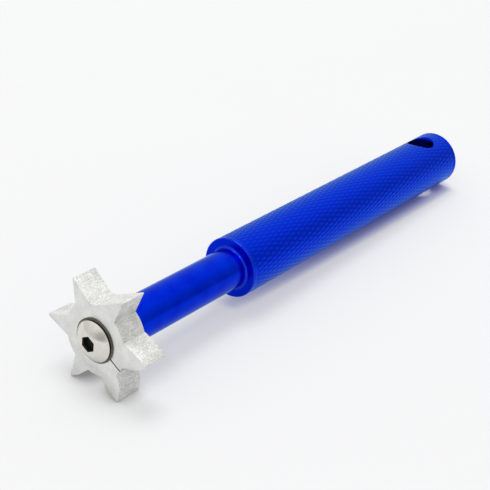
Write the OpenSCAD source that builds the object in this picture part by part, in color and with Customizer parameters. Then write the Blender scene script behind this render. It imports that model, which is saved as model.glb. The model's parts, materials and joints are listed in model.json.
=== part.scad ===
// Hand groove sharpener: a six-tooth cutter clamped by one screw on the end of a round handle.
// +X runs along the tool's axis from the cutter to the butt of the grip, +Z is up.
// The origin is on the axis, on the shoulder of the shank that the cutter's back face seats on.

/* [Cutter] */
// Thickness of the cutter along the axis
cutter_t = 6.5; // [4:0.1:8]
// Diameter of the round core that the six teeth stand on
core_d = 17; // [15:0.1:18]
// Distance from the axis to the point of each tooth
tip_r = 14.15; // [13.5:0.05:15]
// Width of the wire-cut slit from the bore to a valley
slit_w = 0.3; // [0.2:0.05:0.6]

/* [Shank] */
// Diameter of the bare shank
shank_d = 10; // [9.5:0.1:11]
// Bare length between the cutter and the grip
shank_len = 38.7; // [25:0.1:60]
// Length of shank held inside the grip
shank_seat = 42; // [20:1:60]
// Diameter of the spigot that centres the cutter
spigot_d = 7; // [6.5:0.1:8]

/* [Grip] */
// Diameter over the crests of the knurling
grip_d = 15; // [13:0.1:20]
// Length of the grip
grip_len = 95.8; // [90:0.1:130]
// Diameter of the hanging hole
hole_d = 7.5; // [3:0.1:8]
// Distance from the butt to the centre of the hanging hole
hole_inset = 8.4; // [7:0.1:15]
// Angle of the hanging hole round the axis, from straight up towards +Y
hole_turn = 5.9; // [0:0.1:30]

/* [Screw and washer] */
// Nominal diameter of the clamping screw's thread
thread_d = 5; // [4:0.5:5]
// Length of the screw under its head
screw_len = 12; // [10:1:14]
// Diameter of the screw's button head
head_d = 9.6; // [8:0.1:10]
// Height of the button head
head_h = 1.9; // [1.8:0.05:2.8]
// Width across the flats of the hexagon socket
socket_af = 3.05; // [2.5:0.05:4]
// Outer diameter of the washer
washer_d = 10.5; // [10:0.1:12]
// Thickness of the washer
washer_t = 0.3; // [0.2:0.1:1]

/* [Hidden] */
$fn = 96;

TEETH = 6;
FIRST_TOOTH = 30;        // angle of the first tooth, from straight up, seen from the screw's end
RUN_FIT = 0.05;          // radial running clearance
SPIGOT_SHORT = 0.2;      // the spigot stops this far below the cutter's front, so that the screw clamps
WASHER_BORE = 5.5;
TAP_DEPTH = 9;           // tapped hole below the seat
EDGE = 0.3;              // small turned chamfers
BUTT_EDGE = 0.5;         // chamfer round the butt of the grip
COLLAR_R = 0.6;          // hollow fillet of the shank's collar, which stops it in the grip
ARC_STEPS = 8;
RIM_H = 0.6;             // straight side of the button head
CROWN_R = 2.2;           // flat crown of the button head
SOCKET_DEPTH = 1.5;
OVER = 1;                // how far a cutting tool runs past a face
SHADE_BLUE = [0.02, 0.12, 0.75];
SHADE_TOOL = [0.78, 0.78, 0.76];

core_r = core_d / 2;
shank_r = shank_d / 2;
grip_r = grip_d / 2;
spigot_r = spigot_d / 2;
spigot_len = cutter_t - SPIGOT_SHORT;
head_r = head_d / 2;
grip_end = shank_len + grip_len;
head_seat = -cutter_t - washer_t;
// The crown is part of a sphere through the top of the rim and the edge of the flat crown.
crown_rise = head_h - RIM_H;
dome_drop = (pow(head_r, 2) - pow(CROWN_R, 2) - pow(crown_rise, 2)) / (2 * crown_rise);
dome_r = norm([head_r, dome_drop]);

// One outline for each tooth, from the flank that faces the next tooth round to the other one.
// Each point is [distance out along the tooth, distance across it], and the teeth differ
// because each one scrapes a different groove.
FORMS = [
    [[8.1, 2.35], [11.4, 1.15], [tip_r, 0.1], [tip_r, -0.1], [11.6, -1.1], [8.1, -2.45]],
    [[8.1, 2.55], [10.3, 1.6], [13.3, 0.45], [tip_r, -0.1], [tip_r - 0.1, -0.35], [11, -1.35], [8.1, -2.5]],
    [[8.1, 2.65], [11.7, 1.65], [tip_r, 0.35], [tip_r, 0.1], [11.3, -0.7], [8.1, -1.9]],
    [[8.1, 2.8], [11.6, 2.1], [tip_r, 0.1], [tip_r, -0.1], [11.9, -2.3], [8.1, -2.2]],
    [[8.1, 3.05], [11.4, 1.75], [13.1, 0.95], [tip_r, 0.1], [tip_r, -0.1], [12.95, -1.25], [11.3, -2.05], [8.1, -3]],
    [[7.3, 4.45], [tip_r, 0.1], [tip_r, -0.1], [8.6, -1]]
];

// Lays local x along +Y, local y along +Z and local z along +X.
module along_x(x = 0) {
    translate([x, 0, 0]) rotate([90, 0, 90]) children();
}

// A turned rod from x0 to x1 with a chamfer at each end.
module rod(r, x0, x1, edge0 = 0, edge1 = 0) {
    along_x() rotate_extrude() polygon([
        [0, x0], [r - edge0, x0], [r, x0 + edge0], [r, x1 - edge1], [r - edge1, x1], [0, x1]
    ]);
}

module tooth_outline(i) {
    a = FIRST_TOOTH + i * 360 / TEETH;
    form = FORMS[i];
    points = [for (p = form) [p[0] * sin(a) + p[1] * cos(a), p[0] * cos(a) - p[1] * sin(a)]];
    polygon(concat(points, [[0, 0]]));
}

module grip() {
    color(SHADE_BLUE) difference() {
        rod(grip_r, shank_len, grip_end, EDGE / 2, BUTT_EDGE);
        along_x(shank_len - OVER) cylinder(r = shank_r, h = shank_seat + OVER);
        translate([grip_end - hole_inset, 0, 0]) rotate([-hole_turn, 0, 0])
            cylinder(d = hole_d, h = grip_d + 2 * OVER, center = true);
    }
}

// A thin collar that flares from the shank to its full radius against the face of the grip.
module collar() {
    along_x() rotate_extrude() polygon(concat(
        [[shank_r - OVER, shank_len], [shank_r - OVER, shank_len - COLLAR_R]],
        [for (i = [0 : ARC_STEPS]) let (a = i * 90 / ARC_STEPS)
            [shank_r + COLLAR_R * (1 - cos(a)), shank_len - COLLAR_R * (1 - sin(a))]]
    ));
}

module shank() {
    color(SHADE_BLUE) difference() {
        union() {
            rod(shank_r, 0, shank_len + shank_seat, EDGE, EDGE);
            rod(spigot_r, -spigot_len, OVER, EDGE);
            collar();
        }
        along_x(-spigot_len - OVER) cylinder(d = thread_d + 2 * RUN_FIT, h = spigot_len + TAP_DEPTH + OVER);
    }
}

module cutter() {
    slit_angle = FIRST_TOOTH + 3.5 * 360 / TEETH;
    color(SHADE_TOOL) difference() {
        along_x(-cutter_t) linear_extrude(cutter_t) union() {
            circle(r = core_r);
            for (i = [0 : TEETH - 1]) tooth_outline(i);
        }
        along_x(-cutter_t - OVER) cylinder(r = spigot_r + RUN_FIT, h = cutter_t + 2 * OVER);
        rotate([-slit_angle, 0, 0])
            translate([-cutter_t - OVER, -slit_w / 2, 0]) cube([cutter_t + 2 * OVER, slit_w, core_r + OVER]);
    }
}

module washer() {
    color(SHADE_TOOL) along_x(head_seat) difference() {
        cylinder(d = washer_d, h = washer_t);
        translate([0, 0, -OVER]) cylinder(d = WASHER_BORE, h = washer_t + 2 * OVER);
    }
}

module clamp_screw() {
    color(SHADE_TOOL) difference() {
        union() {
            rod(thread_d / 2, head_seat - OVER, head_seat + screw_len, 0, EDGE);
            intersection() {
                along_x(head_seat - head_h) cylinder(r = head_r, h = head_h);
                translate([head_seat - RIM_H + dome_drop, 0, 0]) sphere(r = dome_r);
            }
        }
        along_x(head_seat - head_h - OVER) rotate(30)
            cylinder(d = socket_af / cos(30), h = SOCKET_DEPTH + OVER, $fn = 6);
    }
}

grip();
shank();
cutter();
washer();
clamp_screw();
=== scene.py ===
"""A hand groove sharpener: steel cutter, screw and washer on a blue anodised handle with a knurled grip."""

import json
import math

import bmesh
import bpy
from mathutils import Matrix, Vector


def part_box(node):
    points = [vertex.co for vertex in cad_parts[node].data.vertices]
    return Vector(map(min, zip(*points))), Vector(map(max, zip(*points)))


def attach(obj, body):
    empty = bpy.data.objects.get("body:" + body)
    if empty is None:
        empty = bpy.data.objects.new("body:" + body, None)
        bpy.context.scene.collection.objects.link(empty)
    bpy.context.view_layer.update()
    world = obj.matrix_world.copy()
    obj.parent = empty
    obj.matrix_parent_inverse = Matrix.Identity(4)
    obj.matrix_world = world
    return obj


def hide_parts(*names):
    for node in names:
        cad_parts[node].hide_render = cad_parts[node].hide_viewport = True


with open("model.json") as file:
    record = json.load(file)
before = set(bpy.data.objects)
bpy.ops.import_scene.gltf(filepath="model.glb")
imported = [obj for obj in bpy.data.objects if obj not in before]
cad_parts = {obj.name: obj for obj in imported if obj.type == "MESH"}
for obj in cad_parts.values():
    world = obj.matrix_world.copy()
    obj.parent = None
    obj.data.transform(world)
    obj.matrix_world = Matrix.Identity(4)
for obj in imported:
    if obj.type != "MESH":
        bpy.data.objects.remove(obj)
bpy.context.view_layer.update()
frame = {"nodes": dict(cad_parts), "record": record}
MM = 0.001
TURN = 2 * math.pi

# Places along the axis and radii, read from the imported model.
SPIGOT_END, SHANK_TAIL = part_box("shank")[0].x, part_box("shank")[1].x
COLLAR_R = 0.6 * MM         # hollow fillet where the shank's collar meets the grip
SHANK_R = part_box("shank")[1].z - COLLAR_R
SHOULDER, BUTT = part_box("grip")[0].x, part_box("grip")[1].x
GRIP_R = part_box("grip")[1].z
CUTTER_FRONT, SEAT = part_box("cutter")[0].x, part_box("cutter")[1].x
WASHER_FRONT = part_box("washer")[0].x
WASHER_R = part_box("washer")[1].z
CROWN_TOP, SCREW_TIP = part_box("clamp_screw")[0].x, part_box("clamp_screw")[1].x
HEAD_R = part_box("clamp_screw")[1].z
MOUNTS = {m["name"]: m for m in frame["record"]["mounts"]}
HOLE_X = MOUNTS["hanging_hole"]["pos_m"][0]
HOLE_R = MOUNTS["hanging_hole"]["dims"]["r_mm"] * MM
HOLE_AXIS = Vector(MOUNTS["hanging_hole"]["axis"])

# The knurl: two sets of helical grooves that cross in long diamonds.
KNURL_STARTS = 42
KNURL_LEAD = 3.7 * MM       # along the axis, from one diamond to the next
KNURL_DEPTH = 0.11 * MM
KNURL_STEPS = 8             # mesh rows in a lead, and mesh columns in a start
KNURL_FLAT = 0.78           # a crest is flat above this share of the groove's rise
PLAIN_BAND = 0.7 * MM       # smooth ring before the knurl at the shoulder
BUTT_BAND = 0.6 * MM
RIM_EASE = 0.22 * MM        # rounding of the grip's front edge

# The screw and its hole.
THREAD_R = 2.5 * MM
THREAD_PITCH = 0.8 * MM
THREAD_DEPTH = 0.45 * MM
THREAD_STEPS = 12           # mesh rows in one pitch
SPIGOT_R = 3.5 * MM
TAPPED_R = 2.55 * MM
TAPPED_END = 9 * MM
WASHER_HOLE_R = 2.75 * MM
SLIT_ANGLE = math.radians(240)
SLIT_HALF = 0.16 * MM
SLIT_END = 8 * MM
HEAD_RIM = 0.32 * MM        # from the dome's edge to the washer
HEAD_LAND = 0.08 * MM       # straight side of the head
HEAD_FOOT_R = 4.3 * MM      # the head's underside is relieved to this radius
CROWN_R = 2.2 * MM
SOCKET_AF = 3.05 * MM
SOCKET_CORNER_R = SOCKET_AF / 2 / math.cos(math.pi / 6)
SOCKET_DEPTH = 1.5 * MM
SOCKET_MOUTH = 0.2 * MM     # how far the broach bruised the socket's mouth open


# ---------------------------------------------------------------- meshes

def eased(corners, steps=3):
    """Rows (x, radius) from corners (x, radius, ease). A corner with an ease is rounded that far back."""
    rows = []
    last = len(corners) - 1
    for i, (x, r, ease) in enumerate(corners):
        here = Vector((x, r))
        if ease == 0 or i in (0, last):
            rows.append((x, r))
            continue
        before = Vector(corners[i - 1][:2]) - here
        after = Vector(corners[i + 1][:2]) - here
        a = here + before.normalized() * min(ease, before.length * 0.5)
        b = here + after.normalized() * min(ease, after.length * 0.5)
        for k in range(steps + 1):
            t = k / steps
            p = a * (1 - t) ** 2 + here * 2 * t * (1 - t) + b * t ** 2
            rows.append((p.x, p.y))
    return rows


def turned(rows, segments, relief=None, ring=False, start=0.0):
    """Vertices and faces of rows (x, radius) turned about the X axis.
    relief(x, radius, angle) moves a point outwards. A ring joins its last row to its first."""
    verts = []
    for x, r in rows:
        for k in range(segments):
            a = start + TURN * k / segments
            out = r + (relief(x, r, a) if relief else 0)
            verts.append((x, out * math.cos(a), out * math.sin(a)))
    faces = []
    count = len(rows)
    for i in range(count if ring else count - 1):
        j = (i + 1) % count
        for k in range(segments):
            n = (k + 1) % segments
            faces.append((i * segments + k, i * segments + n, j * segments + n, j * segments + k))
    if not ring:
        faces.append(tuple(range(segments - 1, -1, -1)))
        faces.append(tuple((count - 1) * segments + k for k in range(segments)))
    return verts, faces


def new_object(name, verts, faces):
    mesh = bpy.data.meshes.new(name)
    mesh.from_pydata(verts, [], faces)
    obj = bpy.data.objects.new(name, mesh)
    bpy.context.scene.collection.objects.link(obj)
    face_outwards(obj)
    return obj


def face_outwards(obj):
    work = bmesh.new()
    work.from_mesh(obj.data)
    bmesh.ops.recalc_face_normals(work, faces=work.faces)
    work.to_mesh(obj.data)
    work.free()


def bake_modifiers(obj):
    depsgraph = bpy.context.evaluated_depsgraph_get()
    mesh = bpy.data.meshes.new_from_object(obj.evaluated_get(depsgraph))
    obj.modifiers.clear()
    obj.data = mesh


def carve(obj, tool):
    """Cuts tool out of obj and removes it."""
    cut = obj.modifiers.new("cut", "BOOLEAN")
    cut.operation = "DIFFERENCE"
    cut.solver = "EXACT"
    cut.object = tool
    bake_modifiers(obj)
    bpy.data.objects.remove(tool)


def soften(obj, width, angle=30, segments=2):
    """Rounds every edge sharper than angle."""
    bevel = obj.modifiers.new("bevel", "BEVEL")
    bevel.width = width
    bevel.segments = segments
    bevel.limit_method = "ANGLE"
    bevel.angle_limit = math.radians(angle)
    bake_modifiers(obj)


def finish_piece(obj, node, body, material, sharp=40):
    """Shades the piece, gives it its material and hangs it on its CAD body."""
    obj.data.shade_smooth()
    obj.data.set_sharp_from_angle(angle=math.radians(sharp))
    obj.data.materials.clear()
    obj.data.materials.append(material)
    own = frame["nodes"][node].data.materials
    own.clear()
    own.append(material)
    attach(obj, body)
    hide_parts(node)
    return obj


def off_axis(face):
    """Distance from the X axis to the middle of the face."""
    return math.hypot(face.center.y, face.center.z)


def recolour_faces(obj, chosen, material):
    """Gives the chosen faces a second material: painted shade in the slit, the socket and under the screw
    head, and glossy edges on the handle.
    """
    obj.data.materials.append(material)
    for face in obj.data.polygons:
        if chosen(face):
            face.material_index = len(obj.data.materials) - 1
    return obj


# ---------------------------------------------------------------- grip

def groove(phase):
    """0 on a groove's floor and 1 on the crest between two grooves."""
    return 1 - abs(2 * (phase % 1) - 1)


def knurl(x, r, a):
    start, end = SHOULDER + PLAIN_BAND, BUTT - BUTT_BAND
    if r < GRIP_R - 0.05 * MM or not start < x < end:
        return 0
    around = KNURL_STARTS * a / TURN
    along = (x - start) / KNURL_LEAD
    rise = min(groove(around + along), groove(around - along))
    return -KNURL_DEPTH * (1 - min(1, rise / KNURL_FLAT))


def grip_rows():
    start, end = SHOULDER + PLAIN_BAND, BUTT - BUTT_BAND
    front = eased([
        (SHANK_TAIL, SHANK_R, 0),
        (SHOULDER, SHANK_R, 0),
        (SHOULDER, GRIP_R, RIM_EASE),
        (start - 0.02 * MM, GRIP_R, 0),
    ])
    step = KNURL_LEAD / KNURL_STEPS
    middle = [(start + i * step, GRIP_R) for i in range(int((end - start) / step) + 1)]
    back = eased([
        (end + 0.02 * MM, GRIP_R, 0),
        (BUTT, GRIP_R, 0.5 * MM),
        (BUTT, SHANK_R, 0),
    ], steps=5)
    return front + middle + back


def hole_tool():
    """A drill with a short countersink at both ends, along the hanging hole."""
    flare = 0.35 * MM
    corners = [
        (-GRIP_R - MM, HOLE_R + flare, 0),
        (-GRIP_R + 0.1 * MM, HOLE_R + flare, 0.2 * MM),
        (-GRIP_R + 0.55 * MM, HOLE_R, 0.3 * MM),
        (GRIP_R - 0.55 * MM, HOLE_R, 0.3 * MM),
        (GRIP_R - 0.1 * MM, HOLE_R + flare, 0.2 * MM),
        (GRIP_R + MM, HOLE_R + flare, 0),
    ]
    verts, faces = turned(eased(corners), 96)
    turn = Vector((1, 0, 0)).rotation_difference(HOLE_AXIS)
    middle = Vector((HOLE_X, 0, 0))
    verts = [middle + turn @ Vector(v) for v in verts]
    return new_object("hole_tool", verts, faces)


def make_grip():
    verts, faces = turned(grip_rows(), KNURL_STARTS * KNURL_STEPS, knurl)
    obj = new_object("knurled_grip", verts, faces)
    carve(obj, hole_tool())
    finish_piece(obj, "grip", "handle", anodised_grip())

    def on_rim(face):
        return face.center.x < SHOULDER + RIM_EASE and off_axis(face) > GRIP_R - RIM_EASE

    return recolour_faces(obj, on_rim, glossy_blue("grip_rim"))


# ---------------------------------------------------------------- shank

def thread_rise(x, a):
    """0 at the root and 1 at the crest of a right-hand thread."""
    phase = (x / THREAD_PITCH - a / TURN) % 1
    return min(1, max(0, 1.35 * (1 - abs(2 * phase - 1)) - 0.15))


def tapped(x, r, a):
    if r > TAPPED_R + 0.01 * MM or r < TAPPED_R - 0.01 * MM or x > TAPPED_END - MM:
        return 0
    return 0.3 * MM * thread_rise(x, a)


def make_shank():
    corners = [
        (TAPPED_END + 1.2 * MM, 0.05 * MM, 0),
        (TAPPED_END, TAPPED_R - 0.1 * MM, 0),
    ]
    step = THREAD_PITCH / THREAD_STEPS
    count = int((TAPPED_END - SPIGOT_END - 0.6 * MM) / step)
    bore = [(TAPPED_END - 0.1 * MM - i * step, TAPPED_R) for i in range(count)]
    outside = eased([
        (SPIGOT_END + 0.35 * MM, TAPPED_R + 0.02 * MM, 0),
        (SPIGOT_END, TAPPED_R + 0.3 * MM, 0.05 * MM),
        (SPIGOT_END, SPIGOT_R, 0.2 * MM),
        (SEAT, SPIGOT_R, 0.05 * MM),
        (SEAT, SHANK_R, 0.3 * MM),
        (SHOULDER - COLLAR_R, SHANK_R, 0),
    ])
    collar = [
        (SHOULDER - COLLAR_R * (1 - math.sin(a)), SHANK_R + COLLAR_R * (1 - math.cos(a)))
        for a in [math.pi / 2 * i / 10 for i in range(1, 11)]
    ]
    tail = [(SHOULDER, SHANK_R), (SHANK_TAIL, SHANK_R), (SHANK_TAIL, MM)]
    rows = eased(corners) + bore + outside + collar + tail
    verts, faces = turned(rows, 128, tapped)
    obj = new_object("turned_shank", verts, faces)
    finish_piece(obj, "shank", "handle", anodised_shank())

    def on_collar(face):
        return face.center.x < SHOULDER and off_axis(face) > SHANK_R + 0.05 * MM

    return recolour_faces(obj, on_collar, glossy_blue("collar_blue"))


# ---------------------------------------------------------------- cutter

def make_cutter():
    """The CAD cutter's own outline, with the fine radius that tumbling leaves on its edges."""
    obj = bpy.data.objects.new("six_tooth_cutter", frame["nodes"]["cutter"].data.copy())
    bpy.context.scene.collection.objects.link(obj)
    work = bmesh.new()
    work.from_mesh(obj.data)
    bmesh.ops.remove_doubles(work, verts=work.verts, dist=0.001 * MM)
    bmesh.ops.dissolve_limit(
        work, angle_limit=math.radians(1), verts=work.verts, edges=work.edges
    )
    work.to_mesh(obj.data)
    work.free()
    soften(obj, 0.05 * MM, angle=25)
    finish_piece(obj, "cutter", "cutter", cutter_steel(), sharp=30)
    across = Vector((0, math.cos(SLIT_ANGLE), -math.sin(SLIT_ANGLE)))
    along = Vector((0, math.sin(SLIT_ANGLE), math.cos(SLIT_ANGLE)))

    def in_slit(face):
        out = face.center.dot(along)
        if abs(face.center.dot(across)) > SLIT_HALF or not SPIGOT_R < out < SLIT_END:
            return False
        return abs(face.normal.dot(across)) > 0.9

    # The slit's walls get painted shade: dark where the narrow slit lies in shade.
    return recolour_faces(obj, in_slit, painted_dark_shade("slit_painted_shade", 0.008, 0.03))


# ---------------------------------------------------------------- washer and screw

def make_washer():
    rows = eased([
        (WASHER_FRONT, (WASHER_R + WASHER_HOLE_R) / 2, 0),
        (WASHER_FRONT, WASHER_R, 0.1 * MM),
        (CUTTER_FRONT, WASHER_R, 0.05 * MM),
        (CUTTER_FRONT, WASHER_HOLE_R, 0.05 * MM),
        (WASHER_FRONT, WASHER_HOLE_R, 0.1 * MM),
        (WASHER_FRONT, (WASHER_R + WASHER_HOLE_R) / 2 - 0.05 * MM, 0),
    ])
    verts, faces = turned(rows, 128, ring=True)
    obj = new_object("flat_washer", verts, faces)
    return finish_piece(obj, "washer", "washer", washer_steel())


def threaded(x, r, a):
    if abs(r - THREAD_R) > 0.01 * MM:
        return 0
    return -THREAD_DEPTH * (1 - thread_rise(x, a))


def dome_rows(count=14):
    """The crown from its flat top to its rim, as part of a sphere."""
    rise = WASHER_FRONT - HEAD_RIM - CROWN_TOP
    drop = (HEAD_R ** 2 - CROWN_R ** 2 - rise ** 2) / (2 * rise)
    radius = math.hypot(HEAD_R, drop)
    centre = WASHER_FRONT - HEAD_RIM + drop
    first, last = math.asin(CROWN_R / radius), math.asin(HEAD_R / radius)
    angles = [first + (last - first) * k / count for k in range(count + 1)]
    return [(centre - radius * math.cos(a), radius * math.sin(a)) for a in angles]


def socket_tool():
    rows = [
        (CROWN_TOP - MM, SOCKET_CORNER_R + SOCKET_MOUTH),
        (CROWN_TOP, SOCKET_CORNER_R + SOCKET_MOUTH),
        (CROWN_TOP + SOCKET_MOUTH, SOCKET_CORNER_R),
        (CROWN_TOP + SOCKET_DEPTH - 0.25 * MM, SOCKET_CORNER_R),
        (CROWN_TOP + SOCKET_DEPTH, 0.3 * MM),
    ]
    verts, faces = turned(rows, 6, start=math.pi / 2)
    return new_object("socket_tool", verts, faces)


def make_screw():
    dome = dome_rows()
    rim = eased([
        dome[-1] + (0,),
        (dome[-1][0] + HEAD_LAND, HEAD_R, 0.05 * MM),
        (WASHER_FRONT, HEAD_FOOT_R, 0),
        (WASHER_FRONT, THREAD_R + 0.2 * MM, 0),
    ])
    step = THREAD_PITCH / THREAD_STEPS
    count = int((SCREW_TIP - WASHER_FRONT - 0.6 * MM) / step)
    shaft = [(WASHER_FRONT + 0.1 * MM + i * step, THREAD_R) for i in range(count)]
    tip = [(SCREW_TIP - 0.4 * MM, THREAD_R - THREAD_DEPTH), (SCREW_TIP, THREAD_R - 0.8 * MM)]
    verts, faces = turned(dome + rim[1:] + shaft + tip, 96, threaded)
    obj = new_object("button_head_screw", verts, faces)
    carve(obj, socket_tool())
    finish_piece(obj, "clamp_screw", "screw", screw_steel(), sharp=28)
    wall = SOCKET_CORNER_R + SOCKET_MOUTH + 0.05 * MM
    foot = WASHER_FRONT - HEAD_RIM + HEAD_LAND

    def in_socket(face):
        return off_axis(face) < wall and CROWN_TOP + 0.02 * MM < face.center.x < WASHER_FRONT

    def in_relief(face):
        return off_axis(face) > HEAD_FOOT_R and face.center.x > foot

    # Painted shade inside the hex socket.
    recolour_faces(obj, in_socket, painted_dark_shade("socket_painted_shade", 0.008, 0.03))
    # Painted shadow: the relieved underside of the head is dark, for the shadow in the gap under the head.
    return recolour_faces(obj, in_relief, painted_dark_shade("relief_painted_shadow", 0.08, 0.14))


# ---------------------------------------------------------------- materials

class Shader:
    """A new material and short calls for building its nodes."""

    def __init__(self, name):
        self.material = bpy.data.materials.new(name)
        self.material.use_nodes = True
        self.nodes = self.material.node_tree.nodes
        self.links = self.material.node_tree.links
        self.surface = self.nodes["Principled BSDF"]
        self.place = self.nodes.new("ShaderNodeTexCoord").outputs["Object"]

    def set(self, **values):
        for key, value in values.items():
            self.surface.inputs[key.replace("_", " ")].default_value = value

    def stretched(self, scale):
        """The place in millimetres, times scale on each axis."""
        node = self.nodes.new("ShaderNodeMapping")
        node.inputs["Scale"].default_value = [s / MM for s in scale]
        self.links.new(self.place, node.inputs["Vector"])
        return node.outputs["Vector"]

    def noise(self, scale, detail=3.0, rough=0.55):
        node = self.nodes.new("ShaderNodeTexNoise")
        node.inputs["Scale"].default_value = 1.0
        node.inputs["Detail"].default_value = detail
        node.inputs["Roughness"].default_value = rough
        self.links.new(self.stretched(scale), node.inputs["Vector"])
        return node.outputs["Fac"]

    def noise_along(self, value, scale):
        """Noise that changes with one value only, as the rings on a turned face do with the radius."""
        node = self.nodes.new("ShaderNodeTexNoise")
        node.inputs["Scale"].default_value = scale
        self.links.new(value, node.inputs["Vector"])
        return node.outputs["Fac"]

    def ramp(self, value, low, high, out_low, out_high):
        node = self.nodes.new("ShaderNodeMapRange")
        for key, number in zip(("From Min", "From Max", "To Min", "To Max"),
                               (low, high, out_low, out_high)):
            node.inputs[key].default_value = number
        self.links.new(value, node.inputs["Value"])
        return node.outputs["Result"]

    def blend(self, factor, first, second):
        node = self.nodes.new("ShaderNodeMix")
        node.data_type = "RGBA"
        node.inputs["A"].default_value = (*first, 1)
        node.inputs["B"].default_value = (*second, 1)
        self.links.new(factor, node.inputs["Factor"])
        return node.outputs["Result"]

    def add(self, first, second, weight=1.0):
        node = self.nodes.new("ShaderNodeMath")
        node.operation = "MULTIPLY_ADD"
        self.links.new(second, node.inputs[0])
        node.inputs[1].default_value = weight
        self.links.new(first, node.inputs[2])
        return node.outputs["Value"]

    def times(self, first, second):
        node = self.nodes.new("ShaderNodeMath")
        node.operation = "MULTIPLY"
        self.links.new(first, node.inputs[0])
        self.links.new(second, node.inputs[1])
        return node.outputs["Value"]

    def x_of(self, vector):
        node = self.nodes.new("ShaderNodeSeparateXYZ")
        self.links.new(vector, node.inputs["Vector"])
        return node.outputs["X"]

    def openness(self, reach):
        """1 where nothing stands within reach of the surface, and less where something covers it."""
        node = self.nodes.new("ShaderNodeAmbientOcclusion")
        node.inputs["Distance"].default_value = reach
        return node.outputs["AO"]

    def facing_x(self):
        """1 on a face square to the X axis and 0 on one along it."""
        coords = self.nodes.new("ShaderNodeTexCoord")
        size = self.nodes.new("ShaderNodeMath")
        size.operation = "ABSOLUTE"
        self.links.new(self.x_of(coords.outputs["Normal"]), size.inputs[0])
        return size.outputs["Value"]

    def radius(self):
        """Distance from the X axis, in millimetres."""
        node = self.nodes.new("ShaderNodeVectorMath")
        node.operation = "LENGTH"
        self.links.new(self.stretched((0, 1, 1)), node.inputs[0])
        return node.outputs["Value"]

    def bump(self, height, depth):
        node = self.nodes.new("ShaderNodeBump")
        node.inputs["Strength"].default_value = 1.0
        node.inputs["Distance"].default_value = depth
        self.links.new(height, node.inputs["Height"])
        self.links.new(node.outputs["Normal"], self.surface.inputs["Normal"])

    def to(self, socket, value):
        self.links.new(value, self.surface.inputs[socket])


DEEP_BLUE = (0.0, 0.014, 0.56)
CLEAR_BLUE = (0.0, 0.026, 0.66)
CREST_BLUE = (0.002, 0.03, 0.68)
SHANK_EDGE = (0.74, 0.94, 1.0, 1)
GRIP_EDGE = (0.62, 0.88, 1.0, 1)


# Painted shade: a dark, warm material put in slits, sockets and gaps to stand for the shade that falls
# there.
def painted_dark_shade(name, darkest, palest):
    s = Shader(name)
    s.set(Metallic=0.6)
    grain = s.noise((6, 6, 6))
    warm = (1, 0.95, 0.85)
    low, high = [tuple(c * level for c in warm) for level in (darkest, palest)]
    s.to("Base Color", s.blend(grain, low, high))
    s.to("Roughness", s.ramp(grain, 0.3, 0.7, 0.45, 0.7))
    s.bump(grain, 0.01 * MM)
    return s.material


def anodised_shank():
    """Smooth turned and anodised: very fine rings left by the lathe, under a satin dye layer."""
    s = Shader("anodised_shank")
    s.set(Metallic=1.0, Specular_Tint=SHANK_EDGE)
    cloud = s.noise((0.25, 0.25, 0.25))
    rings = s.noise((14, 0.05, 0.05), detail=2)
    s.to("Base Color", s.blend(s.ramp(cloud, 0.3, 0.7, 0, 1), DEEP_BLUE, CLEAR_BLUE))
    s.to("Roughness", s.ramp(s.add(rings, cloud, 0.5), 0.5, 1.0, 0.17, 0.25))
    s.bump(s.add(rings, s.noise((9, 9, 9), detail=2), 0.4), 0.0012 * MM)
    return s.material


def anodised_grip():
    """The same blue over the knurl, with crests lighter than the grooves: rubbed wear, and a painted
    highlight on the crests.
    """
    s = Shader("anodised_grip")
    s.set(Metallic=1.0, Specular_Tint=GRIP_EDGE)
    cloud = s.noise((0.3, 0.3, 0.3))
    grain = s.noise((11, 11, 11), detail=4)
    # Lighter crests: rubbed wear, and a painted highlight on the crests.
    crest = s.ramp(s.add(s.radius(), grain, 0.05), 7.42, 7.53, 0, 1)
    s.to("Base Color", s.blend(s.add(crest, cloud, 0.2), DEEP_BLUE, CREST_BLUE))
    s.to("Roughness", s.ramp(grain, 0.3, 0.7, 0.18, 0.28))
    faced = s.times(s.noise_along(s.radius(), 9), s.ramp(s.facing_x(), 0.9, 0.98, 0, 1))
    s.bump(s.add(s.times(grain, crest), faced, 0.8), 0.006 * MM)
    return s.material


def glossy_blue(name):
    """The dye under a clear glossy layer, on edges that were left polished."""
    s = Shader(name)
    s.set(Metallic=1.0, Specular_Tint=GRIP_EDGE, Coat_Weight=0.3, Coat_Roughness=0.08)
    grain = s.noise((9, 9, 9))
    s.to("Base Color", s.blend(grain, DEEP_BLUE, CREST_BLUE))
    s.to("Roughness", s.ramp(grain, 0.3, 0.7, 0.14, 0.22))
    s.bump(grain, 0.002 * MM)
    return s.material


def cutter_steel():
    """Wire-cut steel: sparkling grain on the flanks, and a smoother, finely ground front and back."""
    s = Shader("cutter_steel")
    s.set(Metallic=1.0)
    grain = s.noise((3.6, 3.6, 3.6), detail=4, rough=0.75)
    fine = s.noise((11, 11, 11), detail=3, rough=0.7)
    lines = s.noise((0.5, 6, 6), detail=3)
    cloud = s.noise((0.35, 0.35, 0.35))
    flank = s.ramp(s.facing_x(), 0.3, 0.9, 1.0, 0.35)
    speckle = s.times(s.ramp(s.add(grain, lines, 0.3), 0.4, 0.9, -0.5, 0.5), flank)
    ground = s.add(s.ramp(cloud, 0.3, 0.7, 0.58, 0.9), flank, -0.24)
    tone = s.add(s.add(ground, speckle, 1.5), fine, 0.15)
    s.to("Base Color", s.blend(tone, (0.46, 0.46, 0.44), (0.84, 0.84, 0.81)))
    s.to("Roughness", s.add(s.ramp(grain, 0.3, 0.7, 0.14, 0.24), flank, 0.52))
    s.bump(s.add(s.times(grain, flank), fine, 0.4), 0.045 * MM)
    return s.material


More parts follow.
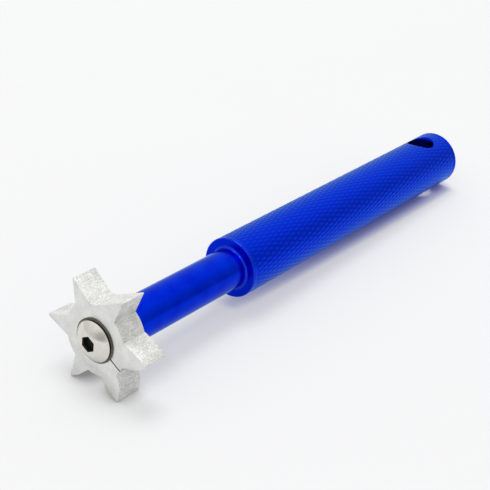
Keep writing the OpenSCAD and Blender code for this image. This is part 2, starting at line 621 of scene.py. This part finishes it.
def bright_steel(name, base, rough, ring_scale):
    s = Shader(name)
    s.set(Metallic=1.0)
    cloud = s.noise((0.8, 0.8, 0.8))
    fine = s.noise(ring_scale, detail=3)
    darker = tuple(c * 0.88 for c in base)
    s.to("Base Color", s.blend(s.ramp(cloud, 0.3, 0.7, 0, 1), darker, base))
    s.to("Roughness", s.ramp(fine, 0.3, 0.7, rough, rough * 1.6))
    s.bump(fine, 0.002 * MM)
    return s.material


# Painted shadow and painted reflection: the washer's steel is made dark to stand for the shadow and dark
# reflection under the screw head.
def washer_steel():
    return bright_steel("washer_steel", (0.12, 0.113, 0.094), 0.3, (12, 12, 12))


def screw_steel():
    return bright_steel("screw_steel", (0.75, 0.73, 0.665), 0.1, (10, 10, 10))


# ---------------------------------------------------------------- setting

FLOOR_AT_ORIGIN = -12.3 * MM    # the lower teeth and the butt's edge both touch this plane
FLOOR_SLOPE = 0.0373
FLOOR_GLOW = 0.4                # the floor's own emission, as on a light table: a stage effect
PAINTED_SHADOW_REACH = 4 * MM                # painted shadow: the emission is lowered this close to the tool, and tinted blue there as a painted reflection of the handle
PAINTED_SHADOW_GLOW = 0.3              # share of the emission left in the painted shadow where the tool covers the floor
# painted reflection: the handle's blue, painted into the floor's emission under it
PAINTED_REFLECTION_TINT = (0.1, 0.16, 1.0)
PAINTED_REFLECTION_START = 10 * MM            # the painted blue reflection sets in over this stretch of the shank, not by the cutter
CAMERA_AT = Vector((-162.84, -147.72, 142.21)) * MM
CAMERA_FORWARD = Vector((0.71526, 0.51068, -0.47706))
CAMERA_UP = Vector((0.3263, 0.3603, 0.8739))
CAMERA_LENS = 88.75
TENT_COLOUR = (0.78, 0.785, 0.79, 1)
TENT_SIDE = (0.72, -0.67, 0.18)     # towards the darker side of the tent
TENT_OPENING = (-0.93, -0.2, 0.2)   # towards its opening


def make_floor():
    verts, faces = [(-1.5, -1.5, 0), (1.5, -1.5, 0), (1.5, 1.5, 0), (-1.5, 1.5, 0)], [(0, 1, 2, 3)]
    floor = new_object("floor", verts, faces)
    floor.location.z = FLOOR_AT_ORIGIN
    floor.rotation_euler.y = -math.atan(FLOOR_SLOPE)
    s = Shader("pale_floor")
    s.set(Roughness=0.9)
    # Painted shadow and painted reflection: the emission falls where the tool covers the floor, and turns
    # blue under the handle.
    steel = s.ramp(s.x_of(s.place), 0, PAINTED_REFLECTION_START, 1, 0)
    unshadowed = s.ramp(s.openness(PAINTED_SHADOW_REACH), 0.3, 0.92, 0, 1)
    s.to("Emission Strength", s.ramp(unshadowed, 0, 1, PAINTED_SHADOW_GLOW * FLOOR_GLOW, FLOOR_GLOW))
    s.to("Emission Color", s.blend(s.add(unshadowed, steel), PAINTED_REFLECTION_TINT, (1, 1, 1)))
    paper = s.noise((0.01, 0.01, 0.01))
    s.to("Base Color", s.blend(paper, (0.36, 0.36, 0.36), (0.37, 0.37, 0.375)))
    floor.data.materials.append(s.material)


def make_camera():
    data = bpy.data.cameras.new("camera")
    data.lens = CAMERA_LENS
    data.sensor_width = 36
    data.clip_start, data.clip_end = 0.01, 10
    camera = bpy.data.objects.new("camera", data)
    bpy.context.scene.collection.objects.link(camera)
    forward = CAMERA_FORWARD.normalized()
    right = forward.cross(CAMERA_UP).normalized()
    up = right.cross(forward)
    turn = Matrix((right, up, -forward)).transposed()
    camera.matrix_world = Matrix.Translation(CAMERA_AT) @ turn.to_4x4()
    bpy.context.scene.camera = camera


def make_light(name, place, target, size, power):
    data = bpy.data.lights.new(name, "AREA")
    data.shape = "DISK"
    data.size = size
    data.energy = power
    lamp = bpy.data.objects.new(name, data)
    bpy.context.scene.collection.objects.link(lamp)
    lamp.location = place
    lamp.rotation_mode = "QUATERNION"
    lamp.rotation_quaternion = (Vector(target) - Vector(place)).to_track_quat("-Z", "Y")


def make_world():
    """A white tent, darker low down on one side and where its opening is."""
    world = bpy.data.worlds.new("tent")
    world.use_nodes = True
    bpy.context.scene.world = world
    nodes, links = world.node_tree.nodes, world.node_tree.links
    place = nodes.new("ShaderNodeTexCoord").outputs["Generated"]

    def zone(direction, begins, full, darkest):
        dot = nodes.new("ShaderNodeVectorMath")
        dot.operation = "DOT_PRODUCT"
        dot.inputs[1].default_value = Vector(direction).normalized()
        links.new(place, dot.inputs[0])
        ramp = nodes.new("ShaderNodeMapRange")
        ramp.interpolation_type = "SMOOTHSTEP"
        for key, number in zip(("From Min", "From Max", "To Min", "To Max"),
                               (begins, full, 1.0, darkest)):
            ramp.inputs[key].default_value = number
        links.new(dot.outputs["Value"], ramp.inputs["Value"])
        return ramp.outputs["Result"]

    def product(first, second):
        node = nodes.new("ShaderNodeMath")
        node.operation = "MULTIPLY"
        links.new(first, node.inputs[0])
        links.new(second, node.inputs[1])
        return node.outputs["Value"]

    side = zone(TENT_SIDE, 0.75, 1.0, 0.72)
    opening = product(zone(TENT_OPENING, 0.93, 0.985, 0.75), zone(TENT_OPENING, 0.8, 1.0, 0.82))
    roof = zone((0, 0, 1), 0.1, 0.7, 1.3)
    background = nodes["Background"]
    background.inputs["Color"].default_value = TENT_COLOUR
    links.new(product(product(side, opening), roof), background.inputs["Strength"])


make_grip()
make_shank()
make_cutter()
make_washer()
make_screw()
make_floor()
make_camera()
make_world()
make_light("top_box", (0.2, 0.3, 1.5), (0.06, 0, 0), 0.75, 10.6)
make_light("front_box", (-0.4, -0.17, 0.42), (0.03, 0, 0), 0.05, 0.32)
bpy.context.scene.view_settings.view_transform = "Standard"
